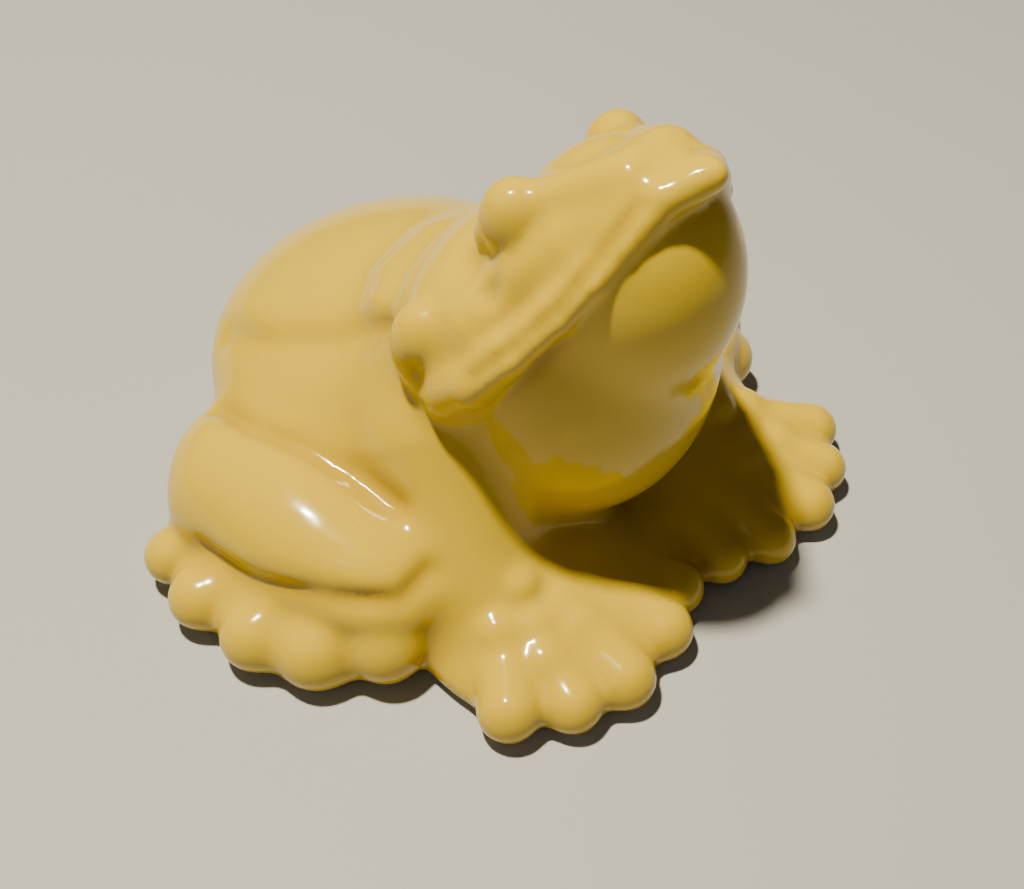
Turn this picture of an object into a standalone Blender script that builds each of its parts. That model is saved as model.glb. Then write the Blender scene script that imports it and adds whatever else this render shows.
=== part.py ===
"""Glazed ceramic frog figurine: a hollow casting, its base slab, vent bung and felt feet.

Metres, +Z up. The frog faces -Y, its left side is +X, and the origin lies on the table
under the middle of its outline. Run with blender --background --python part.py.
"""

import math
from typing import NamedTuple

import bmesh
import bpy
from mathutils import Euler, Matrix, Vector

MM = 0.001

# Driving dimensions, in metres.
FIT_GAP = 0.3 * MM
PAD_THICKNESS = 1.2 * MM
PAD_RADIUS = 6.0 * MM
PAD_PLACES = {
    "felt_pad_front_right": (-20.0 * MM, -31.0 * MM),
    "felt_pad_front_left": (20.0 * MM, -31.0 * MM),
    "felt_pad_rear_right": (-37.0 * MM, 12.0 * MM),
    "felt_pad_rear_left": (37.0 * MM, 12.0 * MM),
}
FOOT_PLANE = PAD_THICKNESS + FIT_GAP
WALL = 3.5 * MM
FLOOR_THICKNESS = 3.0 * MM

SLAB_CENTRE_Y = 8.0 * MM
SLAB_RADIUS_X = 22.0 * MM
SLAB_RADIUS_Y = 19.0 * MM
SLAB_THICKNESS = 3.0 * MM
SLAB_UNDERSIDE = 2.8 * MM
LEDGE = 4.0 * MM

BUNG_HOLE_RADIUS = 5.0 * MM
BUNG_FLANGE_RADIUS = 7.5 * MM
BUNG_FLANGE_THICKNESS = 1.3 * MM
BUNG_STEM_REACH = 2.0 * MM
BUNG_TAPER = 0.6 * MM

VOXEL = 0.9 * MM
FINE_VOXEL = 0.7 * MM
CAVITY_VOXEL = 1.4 * MM
BALL_RINGS = 24
ROUND_SEGMENTS = 48
CASTING_TRIANGLES = 6500
CAVITY_TRIANGLES = 900

GLAZE = ("yellow_green_glaze", (0.66, 0.50, 0.11, 1.0), 0.08)
BARE_CLAY = ("bare_clay", (0.72, 0.66, 0.55, 1.0), 0.85)
SOFT_RUBBER = ("soft_rubber", (0.55, 0.53, 0.48, 1.0), 0.6)
GREY_FELT = ("grey_felt", (0.16, 0.15, 0.14, 1.0), 0.95)


class Ball(NamedTuple):
    """A stretched ball: centre and radii in millimetres, turned about X by tilt degrees."""

    centre: tuple
    radii: tuple
    tilt: float = 0.0
    paired: bool = False


class Limb(NamedTuple):
    """A run of balls joined by straight tapers: (x, y, z, radius) in millimetres each."""

    beads: tuple
    paired: bool = False


class Wedge(NamedTuple):
    """The straight-sided skin round a few balls: (x, y, z, radius) in millimetres each."""

    beads: tuple
    paired: bool = False


# The right half of the mouth's lip, from the middle of the snout back to the corner.
LIP = (
    (0, -31.4, 68, 2),
    (-4.3, -29.8, 65, 2),
    (-8.5, -28.5, 61.2, 2.1),
    (-12, -27, 57.2, 2.3),
    (-15.2, -24.4, 52.4, 2.4),
    (-18.6, -20.4, 46.4, 2.6),
    (-20.8, -15.9, 39.5, 3),
    (-20.5, -11.5, 35, 4),
)
# The ridge from the right eye to the tip of the snout.
BROW = ((-9.8, -10.2, 54.8, 2.6), (-7.6, -16.8, 61.2, 2.6), (-3.8, -25.3, 66, 2.8))
CHEEK_INSET = 1.2

# The trunk and head, which are hollow inside.
HOLLOW_FORMS = (
    Ball((0, 15, 15), (31, 33, 20), -6),
    Ball((0, 13, 25), (20, 23, 12), -20),
    Ball((0, -3, 24), (23, 18, 19), -20),
    Ball((0, -8.5, 40.5), (23.5, 14, 13), -40),
    Ball((0, -20, 53), (14, 11.5, 9.5), -45),
    Ball((0, -26, 62), (7.5, 6, 7), -40),
    Ball((0, -22.5, 48.5), (14, 15.5, 17.5)),
    Ball((0, -19.5, 32.5), (19, 16, 23)),
    Ball((-34.5, 6, 12), (12, 22.5, 10.5), 2, paired=True),
)
# Solid limbs that flow into the trunk: knees, arms, and the webs that join the feet.
SOLID_FORMS = (
    Ball((-33.5, -11, 10.5), (9, 9, 8), paired=True),
    Limb(((-16, -7, 22, 11), (-25.5, -21.5, 5, 7.3)), paired=True),
    Ball((-24, -14, 3), (9.5, 10, 8), paired=True),
    Ball((-39.5, 4, 3.5), (10.5, 20, 5), paired=True),
    Ball((-19, -29.5, 2.2), (14.5, 11.5, 5), paired=True),
    Ball((0, -19, 1.5), (24, 20, 6)),
    Ball((0, 4, 3), (34, 34, 7)),
    Wedge(tuple((x, y + CHEEK_INSET, z - CHEEK_INSET, r) for x, y, z, r in LIP + BROW), paired=True),
)
# Small features: toes, lip, brow, eyes, eardrums.
FEATURES = (
    Limb(((-40, 16, 4.5, 4), (-47, 18.6, 4.6, 4.3)), paired=True),
    Limb(((-41, 8, 5, 4.3), (-49.6, 10, 4.6, 4.9)), paired=True),
    Limb(((-40, 0, 5, 4.5), (-49.3, -1, 4.6, 5.1)), paired=True),
    Limb(((-38, -7, 5, 4.7), (-45.8, -9.5, 4.8, 5.3)), paired=True),
    Limb(((-33, -12, 5, 5), (-38.5, -15.6, 4.8, 5.7)), paired=True),
    Limb(((-22.7, -24.3, 5.5, 3.8), (-34.9, -34.6, 3.8, 4.4)), paired=True),
    Limb(((-23, -29, 4.5, 3.4), (-28.3, -40.3, 3.6, 4.3)), paired=True),
    Limb(((-18, -31, 4.5, 3.6), (-20.8, -43.5, 3.6, 4.6)), paired=True),
    Limb(((-12, -31, 4, 3.4), (-10.9, -42.5, 3.6, 4.6)), paired=True),
    Limb(((-7, -30, 3.5, 3), (-3.5, -39.4, 3.4, 3.9)), paired=True),
    Limb(LIP, paired=True),
    Limb(BROW, paired=True),
    Ball((-10.5, -11, 57), (3.4, 3.5, 4.4), paired=True),
    Ball((-12.6, -9.3, 51.8), (4, 3.7, 5), paired=True),
    Ball((-19.3, -6.7, 41.2), (4.6, 4.6, 6.2), paired=True),
)

BODY_SMOOTHING = 36
FEATURE_SMOOTHING = 5
CUTTER_SIZE = 0.3


def clear_scene() -> None:
    for item in list(bpy.data.objects):
        bpy.data.objects.remove(item, do_unlink=True)


def make_collection(name: str) -> bpy.types.Collection:
    collection = bpy.data.collections.new(name)
    bpy.context.scene.collection.children.link(collection)
    return collection


def make_material(name: str, colour: tuple, roughness: float) -> bpy.types.Material:
    material = bpy.data.materials.new(name)
    material.use_nodes = True
    shader = material.node_tree.nodes["Principled BSDF"]
    shader.inputs["Base Color"].default_value = colour
    shader.inputs["Roughness"].default_value = roughness
    shader.inputs["Metallic"].default_value = 0.0
    return material


def make_object(name: str, mesh: bmesh.types.BMesh, collection, material=None) -> bpy.types.Object:
    data = bpy.data.meshes.new(name)
    mesh.to_mesh(data)
    mesh.free()
    result = bpy.data.objects.new(name, data)
    collection.objects.link(result)
    if material is not None:
        data.materials.append(material)
    return result


def ball_points(centre: tuple, radii: tuple, tilt: float = 0.0) -> list:
    """Points on a stretched ball, in metres."""
    turn = Euler((math.radians(tilt), 0, 0)).to_matrix()
    ball = bmesh.new()
    bmesh.ops.create_uvsphere(ball, u_segments=BALL_RINGS, v_segments=BALL_RINGS // 2, radius=1.0)
    points = []
    for vertex in ball.verts:
        stretched = Vector(a * b for a, b in zip(vertex.co, radii))
        points.append((turn @ stretched + Vector(centre)) * MM)
    ball.free()
    return points


def add_hull(mesh: bmesh.types.BMesh, points: list) -> None:
    """Adds the closed convex skin round the points."""
    new_vertices = [mesh.verts.new(point) for point in points]
    skin = bmesh.ops.convex_hull(mesh, input=new_vertices)
    spare = [item for item in skin["geom_interior"] if isinstance(item, bmesh.types.BMVert)]
    bmesh.ops.delete(mesh, geom=spare, context="VERTS")


def form_hulls(form, inset: float) -> list:
    """The point clouds of one form, whose radii are less by the inset in millimetres."""
    if isinstance(form, Ball):
        clouds = [ball_points(form.centre, tuple(r - inset for r in form.radii), form.tilt)]
    elif isinstance(form, Wedge):
        balls = [ball_points(bead[:3], (bead[3] - inset,) * 3) for bead in form.beads]
        clouds = [sum(balls, [])]
    else:
        balls = [ball_points(bead[:3], (bead[3] - inset,) * 3) for bead in form.beads]
        clouds = [near + far for near, far in zip(balls, balls[1:])]
    if form.paired:
        mirror = Matrix.Scale(-1, 3, Vector((1, 0, 0)))
        clouds += [[mirror @ point for point in cloud] for cloud in clouds]
    return clouds


def apply_modifiers(target: bpy.types.Object) -> None:
    """Keeps the shape that the modifiers give, and drops the modifiers."""
    graph = bpy.context.evaluated_depsgraph_get()
    shaped = bpy.data.meshes.new_from_object(target.evaluated_get(graph))
    target.modifiers.clear()
    target.data = shaped


def fuse(name: str, forms: tuple, collection, voxel: float, smoothing: int, inset: float = 0.0):
    """Melts forms into one closed skin."""
    mesh = bmesh.new()
    for form in forms:
        for cloud in form_hulls(form, inset):
            add_hull(mesh, cloud)
    result = make_object(name, mesh, collection)
    melt(result, voxel, smoothing)
    return result


def melt(target: bpy.types.Object, voxel: float, smoothing: int) -> None:
    """Joins overlapping skins and softens the creases where they meet."""
    remesh = target.modifiers.new("melt", "REMESH")
    remesh.mode = "VOXEL"
    remesh.voxel_size = voxel
    soften = target.modifiers.new("soften", "SMOOTH")
    soften.factor = 0.5
    soften.iterations = smoothing
    apply_modifiers(target)


def join(target: bpy.types.Object, other: bpy.types.Object) -> None:
    """Moves the other object's skin into the target."""
    mesh = bmesh.new()
    mesh.from_mesh(target.data)
    mesh.from_mesh(other.data)
    mesh.to_mesh(target.data)
    mesh.free()
    bpy.data.objects.remove(other, do_unlink=True)


def thin_out(target: bpy.types.Object, triangles: int) -> None:
    """Brings the mesh down to about the given number of triangles."""
    target.data.calc_loop_triangles()
    reduce = target.modifiers.new("reduce", "DECIMATE")
    reduce.ratio = triangles / len(target.data.loop_triangles)
    reduce.use_symmetry = True
    reduce.symmetry_axis = "X"
    apply_modifiers(target)


def subtract(target: bpy.types.Object, cutter: bpy.types.Object) -> None:
    """Cuts the cutter out of the target, and hides the cutter."""
    cutter.hide_render = True
    cutter.display_type = "WIRE"
    cut = target.modifiers.new("cut_" + cutter.name, "BOOLEAN")
    cut.operation = "DIFFERENCE"
    cut.solver = "EXACT"
    cut.object = cutter


def block_below(name: str, height: float, collection) -> bpy.types.Object:
    """A large block whose top face is at the given height."""
    mesh = bmesh.new()
    bmesh.ops.create_cube(mesh, size=CUTTER_SIZE)
    bmesh.ops.translate(mesh, verts=mesh.verts, vec=(0, 0, height - CUTTER_SIZE / 2))
    return make_object(name, mesh, collection)


def drum(name, collection, radii, bottom, top, centre=(0.0, 0.0), material=None, taper=1.0):
    """An upright elliptical drum, whose top is narrower by the taper."""
    mesh = bmesh.new()
    bmesh.ops.create_cone(
        mesh,
        cap_ends=True,
        segments=ROUND_SEGMENTS,
        radius1=1.0,
        radius2=taper,
        depth=1.0,
    )
    bmesh.ops.scale(mesh, verts=mesh.verts, vec=(radii[0], radii[1], top - bottom))
    bmesh.ops.translate(mesh, verts=mesh.verts, vec=(centre[0], centre[1], (bottom + top) / 2))
    return make_object(name, mesh, collection, material)


def build_casting(parts, cutters) -> bpy.types.Object:
    """The hollow body, open underneath, with a seat for the slab round the opening."""
    casting = fuse("figure_casting", HOLLOW_FORMS + SOLID_FORMS, parts, VOXEL, BODY_SMOOTHING)
    features = fuse("features", FEATURES, parts, FINE_VOXEL, 0)
    join(casting, features)
    melt(casting, FINE_VOXEL, FEATURE_SMOOTHING)
    thin_out(casting, CASTING_TRIANGLES)
    casting.data.materials.append(make_material(*GLAZE))
    casting.data.shade_smooth()

    seat_top = SLAB_UNDERSIDE + SLAB_THICKNESS + FIT_GAP
    floor_top = seat_top + FLOOR_THICKNESS
    subtract(casting, block_below("table_cut", FOOT_PLANE, cutters))

    hollow = fuse("hollow", HOLLOW_FORMS, cutters, CAVITY_VOXEL, BODY_SMOOTHING // 3, WALL / MM)
    thin_out(hollow, CAVITY_TRIANGLES)
    subtract(hollow, block_below("hollow_floor", floor_top, cutters))
    apply_modifiers(hollow)
    subtract(casting, hollow)

    centre = (0.0, SLAB_CENTRE_Y)
    seat_radii = (SLAB_RADIUS_X + FIT_GAP, SLAB_RADIUS_Y + FIT_GAP)
    seat = drum("slab_seat", cutters, seat_radii, -PAD_RADIUS, seat_top, centre)
    subtract(casting, seat)
    opening_radii = (SLAB_RADIUS_X - LEDGE, SLAB_RADIUS_Y - LEDGE)
    opening_top = floor_top + FLOOR_THICKNESS
    opening = drum("floor_opening", cutters, opening_radii, 0.0, opening_top, centre)
    subtract(casting, opening)
    return casting


def build_slab(parts, cutters) -> bpy.types.Object:
    """The flat oval slab that closes the opening, with the bung's hole through it."""
    centre = (0.0, SLAB_CENTRE_Y)
    top = SLAB_UNDERSIDE + SLAB_THICKNESS
    radii = (SLAB_RADIUS_X, SLAB_RADIUS_Y)
    slab = drum("base_slab", parts, radii, SLAB_UNDERSIDE, top, centre, make_material(*BARE_CLAY))
    hole_radii = (BUNG_HOLE_RADIUS, BUNG_HOLE_RADIUS)
    hole = drum("bung_hole", cutters, hole_radii, 0.0, top + SLAB_THICKNESS, centre)
    subtract(slab, hole)
    return slab


def build_bung(parts) -> bpy.types.Object:
    """The bung: a flange under the slab and a tapered stem up through its hole."""
    flange_top = SLAB_UNDERSIDE - FIT_GAP
    flange_bottom = flange_top - BUNG_FLANGE_THICKNESS
    stem_top = SLAB_UNDERSIDE + SLAB_THICKNESS + BUNG_STEM_REACH
    stem_radius = BUNG_HOLE_RADIUS - FIT_GAP
    profile = (
        (stem_radius - BUNG_TAPER, stem_top),
        (stem_radius, SLAB_UNDERSIDE + SLAB_THICKNESS),
        (stem_radius, flange_top),
        (BUNG_FLANGE_RADIUS, flange_top),
        (BUNG_FLANGE_RADIUS, flange_bottom),
    )
    mesh = bmesh.new()
    outline = [(0.0, stem_top), *profile, (0.0, flange_bottom)]
    points = [mesh.verts.new((radius, 0.0, height - flange_bottom)) for radius, height in outline]
    for upper, lower in zip(points, points[1:]):
        mesh.edges.new((upper, lower))
    bung = make_object("vent_bung", mesh, parts, make_material(*SOFT_RUBBER))
    bung.location = (0.0, SLAB_CENTRE_Y, flange_bottom)
    turn = bung.modifiers.new("turn", "SCREW")
    turn.axis = "Z"
    turn.angle = math.tau
    turn.steps = ROUND_SEGMENTS
    turn.render_steps = ROUND_SEGMENTS
    turn.use_merge_vertices = True
    turn.merge_threshold = 0.1 * FIT_GAP
    return bung


def build_pads(parts) -> None:
    """Four round felt pads under the feet."""
    felt = make_material(*GREY_FELT)
    for name, place in PAD_PLACES.items():
        drum(name, parts, (PAD_RADIUS, PAD_RADIUS), 0.0, PAD_THICKNESS, place, felt)


def main() -> None:
    clear_scene()
    parts = make_collection("glazed_frog_figurine")
    cutters = make_collection("cutters")
    build_casting(parts, cutters)
    build_slab(parts, cutters)
    build_bung(parts)
    build_pads(parts)


main()
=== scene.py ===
"""Looks of a glazed frog figurine: its cast and glazed skin, base slab, vent bung and felt pads.

The skin is one level surface. Balls and rounded ridges stand for the lumps of clay, a smooth
minimum melts them together the way thick glaze softens a modelled form, and carved lumps take
the creases out again. The surface where that distance is zero becomes the mesh.
"""

import logging
import math
from collections.abc import Callable
from dataclasses import dataclass
from enum import Enum
from itertools import combinations

import bpy
import numpy as np
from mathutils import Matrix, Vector

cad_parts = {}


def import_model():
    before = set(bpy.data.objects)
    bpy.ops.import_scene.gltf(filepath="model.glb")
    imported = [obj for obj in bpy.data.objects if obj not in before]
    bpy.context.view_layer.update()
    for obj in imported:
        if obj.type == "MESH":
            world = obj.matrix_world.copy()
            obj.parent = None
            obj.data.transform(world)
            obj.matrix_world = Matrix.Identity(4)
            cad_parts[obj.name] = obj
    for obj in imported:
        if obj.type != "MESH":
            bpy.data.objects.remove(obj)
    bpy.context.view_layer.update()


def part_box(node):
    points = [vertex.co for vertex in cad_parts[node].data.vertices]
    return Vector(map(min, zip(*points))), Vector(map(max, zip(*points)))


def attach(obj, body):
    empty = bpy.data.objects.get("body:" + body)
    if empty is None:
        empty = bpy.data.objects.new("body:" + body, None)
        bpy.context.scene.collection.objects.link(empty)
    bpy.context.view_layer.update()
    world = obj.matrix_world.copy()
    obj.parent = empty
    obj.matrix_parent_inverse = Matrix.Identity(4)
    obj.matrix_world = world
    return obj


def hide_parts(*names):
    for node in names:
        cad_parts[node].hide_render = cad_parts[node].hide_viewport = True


LOG = logging.getLogger("frog")

MM = 0.001
FIGURE_BODY = "figure"
BUNG_BODY = "bung"
CASTING_NODE = "figure_casting"
SLAB_NODE = "base_slab"
BUNG_NODE = "vent_bung"
PAD_NODES = (
    "felt_pad_front_right",
    "felt_pad_front_left",
    "felt_pad_rear_right",
    "felt_pad_rear_left",
)

# Grid points whose distance is worked out at one time, and the least squared slope of a distance
# that a point is moved by.
GRID_BATCH = 1_500_000
LEAST_SLOPE = 0.1
# How far the straight runs of a ridge melt into each other, in millimetres.
BEAD_MELT = 0.8

Point = tuple[float, float, float]
Bead = tuple[float, float, float, float]
Colour = tuple[float, float, float, float]
Distance = Callable[[np.ndarray], np.ndarray]
Skin = tuple[np.ndarray, np.ndarray]


class Side(Enum):
    """Where a lump sits: on the middle plane, or once on each side of it."""

    MIDDLE = "middle"
    BOTH = "both"


class Work(Enum):
    """Whether a lump is added to the form or carved out of it."""

    ADD = "add"
    CARVE = "carve"


def smooth_min(a: np.ndarray, b: np.ndarray, reach: float) -> np.ndarray:
    """The lower of two distances, rounded by a cubic where they differ by less than reach.

    Args:
        a: Distances.
        b: Distances.
        reach: How far apart they may be and still melt together, in millimetres.

    Returns:
        The melted distances.
    """
    overlap = np.maximum(reach - np.abs(a - b), 0.0) / reach
    return np.minimum(a, b) - overlap**3 * (reach / 6.0)


def smooth_max(a: np.ndarray, b: np.ndarray, reach: float) -> np.ndarray:
    """The higher of two distances, rounded in the same way as smooth_min."""
    return -smooth_min(-a, -b, reach)


@dataclass(frozen=True)
class Ball:
    """A stretched ball of clay.

    Attributes:
        centre: Its middle, in the form's millimetres.
        radii: Its half widths before it is turned.
        tilt: Degrees that it is turned about X.
        yaw: Degrees that it is then turned about Z.
        side: Whether it has a mirror image.
        work: Added or carved.
        melt: How far its edge melts into what is there, in millimetres.
    """

    centre: Point
    radii: Point
    tilt: float = 0.0
    yaw: float = 0.0
    side: Side = Side.MIDDLE
    work: Work = Work.ADD
    melt: float = 3.0

    def turn(self) -> np.ndarray:
        """The 3 by 3 matrix of the tilt followed by the yaw."""
        a, b = math.radians(self.tilt), math.radians(self.yaw)
        tilt = ((1, 0, 0), (0, math.cos(a), -math.sin(a)), (0, math.sin(a), math.cos(a)))
        yaw = ((math.cos(b), -math.sin(b), 0), (math.sin(b), math.cos(b), 0), (0, 0, 1))
        return (np.array(yaw) @ np.array(tilt)).astype(np.float32)

    def distance(self, points: np.ndarray) -> np.ndarray:
        """Distance to the skin: k (k - 1) / m, where k is the length of the point divided by
        the radii and m the length of it divided by their squares.

        Args:
            points: An array whose last axis is x, y, z.

        Returns:
            Signed distances, negative inside.
        """
        radii = np.array(self.radii, np.float32)
        local = (points - np.array(self.centre, np.float32)) @ self.turn()
        stretched = np.sqrt(((local / radii) ** 2).sum(-1))
        steep = np.sqrt(((local / radii**2) ** 2).sum(-1))
        return stretched * (stretched - 1.0) / np.maximum(steep, 1e-6)


@dataclass(frozen=True)
class Ridge:
    """A rounded ridge or groove through beads, tapering from one to the next.

    Attributes:
        beads: (x, y, z, radius) of each, in the form's millimetres.
        side: Whether it has a mirror image.
        work: Added or carved.
        melt: How far its edge melts into what is there, in millimetres.
    """

    beads: tuple[Bead, ...]
    side: Side = Side.BOTH
    work: Work = Work.ADD
    melt: float = 2.0

    def distance(self, points: np.ndarray) -> np.ndarray:
        """Distance to the nearest straight run between beads, less the radius there.

        Args:
            points: An array whose last axis is x, y, z.

        Returns:
            Signed distances, negative inside.
        """
        beads = np.array(self.beads, np.float32)
        nearest = None
        for near, far in zip(beads, beads[1:]):
            run = far[:3] - near[:3]
            offset = points - near[:3]
            along = np.clip((offset @ run) / float(run @ run), 0.0, 1.0)
            gap = np.sqrt(((offset - along[..., None] * run) ** 2).sum(-1))
            found = gap - (near[3] + (far[3] - near[3]) * along)
            nearest = found if nearest is None else smooth_min(nearest, found, BEAD_MELT)
        return nearest


def melted(lumps: "tuple[Ball | Ridge | Cluster, ...]", points: np.ndarray) -> np.ndarray:
    """Distance to several lumps, melted together or carved in their order.

    Args:
        lumps: Balls, ridges and clusters, in order.
        points: An array whose last axis is x, y, z, in the form's millimetres.

    Returns:
        Signed distances in millimetres.
    """
    folded = points.copy()
    folded[..., 0] = -np.abs(folded[..., 0])
    level = None
    for lump in lumps:
        found = lump.distance(folded if lump.side is Side.BOTH else points)
        if level is None:
            level = found
        elif lump.work is Work.ADD:
            level = smooth_min(level, found, lump.melt)
        else:
            level = smooth_max(level, -found, lump.melt)
    return level


@dataclass(frozen=True)
class Cluster:
    """Lumps that are melted together on their own before they join the rest.

    Attributes:
        lumps: Balls and ridges.
        melt: How far the whole melts into what is there, in millimetres.
        side: A cluster folds its own lumps, so it always takes the unfolded points.
        work: Added or carved.
    """

    lumps: tuple[Ball | Ridge, ...]
    melt: float
    side: Side = Side.MIDDLE
    work: Work = Work.ADD

    def distance(self, points: np.ndarray) -> np.ndarray:
        """Distance to the lumps melted together."""
        return melted(self.lumps, points)


# The trunk, from the belly up to the neck, with the chest that the throat hangs from.
TRUNK = (
    Ball((0, 15.2, 14.8), (31, 33, 20.1), -6),
    Ball((0, 12.7, 24.3), (19.9, 23, 12), -20, melt=7),
    Ball((0, -3, 24), (23, 18, 19), -20, melt=8),
    Ball((0, -17, 30), (19, 15.5, 22.3), melt=6),
)
# The swollen throat.
THROAT = Cluster(
    (
        Ball((0, -19.3, 32.7), (18.9, 16, 22.8)),
        Ball((0, -23.1, 49.4), (14.1, 15.4, 17.9), melt=5),
    ),
    1.6,
)
# The folded hind legs, then the arms and the skin where they join the web.
LIMBS = (
    Ball((-34.5, 6, 12.3), (12, 22.3, 10.6), 2, -3, Side.BOTH, melt=10),
    Ball((-37.4, 16, 8.5), (8.6, 9.6, 9.5), side=Side.BOTH, melt=6),
    Ball((-33.5, -11.2, 10.3), (9, 9.1, 8), side=Side.BOTH, melt=6),
    Ridge(((-16, -7, 22, 11), (-25.6, -21.5, 4.6, 7.3)), melt=9),
    Ball((-24, -14, 3), (10.5, 11, 8), side=Side.BOTH, melt=8),
    Ball((-15, -21, 4), (15, 13, 8), side=Side.BOTH, melt=9),
)
# Each hind foot: its sole, the instep behind the toes, then five round toes.
HIND_FEET = (
    Ball((-39.5, 4, 3.5), (11.5, 20, 6.5), 0, -4, Side.BOTH, melt=4),
    Ridge(
        (
            (-41, 14.5, 4.5, 4.6),
            (-43, 7, 5, 5.2),
            (-42.5, -1, 5.5, 5.4),
            (-39, -8, 6, 5.4),
            (-33.5, -12.5, 6, 5.6),
        ),
        melt=3.5,
    ),
    Ridge(((-41, 16, 4.6, 4), (-47.2, 18.6, 4.7, 4.2)), melt=3),
    Ridge(((-42, 8, 4.8, 4.2), (-49.4, 9.8, 4.6, 4.6)), melt=3.5),
    Ridge(((-41, 0, 5, 4.5), (-48.9, -1, 4.6, 4.8)), melt=4),
    Ridge(((-38, -7, 5, 4.7), (-45.4, -9.3, 4.8, 5)), melt=4),
    Ridge(((-33, -12, 5.6, 5), (-38.6, -15.8, 5.6, 5.4)), melt=2.6),
)
# The web between the front feet, the sheet of clay under the body and the palm of each foot.
PALMS = (
    Ball((0, -19, 1.5), (24, 20, 6), melt=4),
    Ball((0, 4, 3), (34, 34, 7), melt=4),
    Ball((-18.5, -27.3, 2.4), (18.3, 16.2, 6.8), 0, -12, Side.BOTH, melt=5),
)
# Five toes on each front foot, with a knuckle on each. The left foot reaches further forward.
RIGHT_TOES = (
    ((-23, -24.5, 6, 4), (-29, -29, 5.6, 3.7), (-34.9, -34.6, 3.9, 4.2)),
    ((-23, -28, 5.6, 3.4), (-25.6, -33, 5.4, 3.4), (-28.4, -40, 3.6, 4)),
    ((-18, -31, 5.2, 3.4), (-20, -37, 5.2, 3.4), (-20.8, -42.6, 3.6, 4.3)),
    ((-12, -31, 4.8, 3.2), (-12, -36, 4.6, 3.3), (-10.9, -41.6, 3.6, 4.2)),
    ((-7, -30, 3.8, 3), (-5, -35, 3.6, 3), (-3.5, -38.8, 3.4, 3.6)),
)
LEFT_TOES = (
    ((23, -24.5, 6, 4), (30, -29.4, 5.6, 3.7), (35.6, -35.4, 3.9, 4.2)),
    ((23, -28, 5.6, 3.4), (26.4, -34, 5.4, 3.4), (29.6, -41, 3.6, 4.1)),
    ((18, -31, 5.2, 3.4), (20.4, -38, 5, 3.4), (21.9, -43.7, 3.6, 4.2)),
    ((12, -31, 4.8, 3.2), (12.6, -37, 4.6, 3.3), (12.6, -43.2, 3.6, 4)),
    ((7, -30, 3.8, 3), (6, -36, 3.6, 3), (4.8, -40.4, 3.4, 3.5)),
)
FRONT_FEET = PALMS + tuple(Ridge(toe, Side.MIDDLE, melt=3.8) for toe in RIGHT_TOES + LEFT_TOES)
# The head, up to the tip of the snout, with the brow ridges that run from it to the eyes, then
# the lip from the middle of the snout back to the corner of the mouth.
SKULL = (
    Ball((0, -8.8, 40.4), (21.8, 13.5, 12.6), -40, melt=9),
    Ball((0, -20.1, 52.9), (14, 11.5, 9.5), -45, melt=6),
    Ball((0, -25.8, 61.8), (7.5, 6.1, 7), -40, melt=5),
    Ridge(
        (
            (-5.8, -26.8, 63.1, 2.6),
            (-9.2, -21.7, 58.5, 3.2),
            (-11.8, -17, 52.6, 3.8),
            (-15.5, -13.5, 45.5, 4.6),
        ),
        melt=4,
    ),
    Ridge(((-9.8, -10.2, 54.8, 2.6), (-7.6, -16.8, 61.2, 2.6), (-3.8, -25.3, 66, 2.8)), melt=4),
    Ridge(
        (
            (0, -34, 68.3, 1.6),
            (-4.3, -30.7, 65.8, 1.8),
            (-8.5, -28.6, 61.3, 2.1),
            (-12, -27, 57.3, 2.2),
            (-15.1, -24.3, 52.5, 2.3),
            (-18.6, -20.4, 46.4, 2.5),
            (-20.8, -15.9, 40.3, 2.7),
            (-20.4, -11.6, 36.8, 3.3),
        ),
        melt=5,
    ),
)
# The eyes, the bump over the nostrils and the eardrums.
SENSES = (
    Ball((-9.9, -13.4, 58.6), (4.2, 4.3, 4.9), side=Side.BOTH, melt=2.6),
    Ridge(((0, -27, 64.7, 3.8), (0, -31.5, 66.8, 2.4)), Side.MIDDLE, melt=4),
    Ball((-19.6, -6.4, 40.8), (4, 4.2, 6), side=Side.BOTH, melt=3),
)
# The collar behind the head, then the small knuckles on the front feet.
COLLAR = (
    Ridge(((-15.5, 2.5, 35.5, 3), (-12.5, 5.5, 35.8, 3.2), (-8, 8, 36, 3.4), (0, 8.6, 37, 3.8)), melt=7),
)
KNUCKLES = tuple(
    Ball(centre, (2.4, 2.4, 2), side=Side.BOTH, melt=2.8)
    for centre in (
        (-28.7, -27.1, 9.1),
        (-24.9, -30, 8.7),
        (-20.4, -34, 7.9),
        (-27.3, -34.2, 7.3),
        (-20.3, -30.4, 8.7),
        (-22.9, -25.6, 11.5),
    )
)
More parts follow.
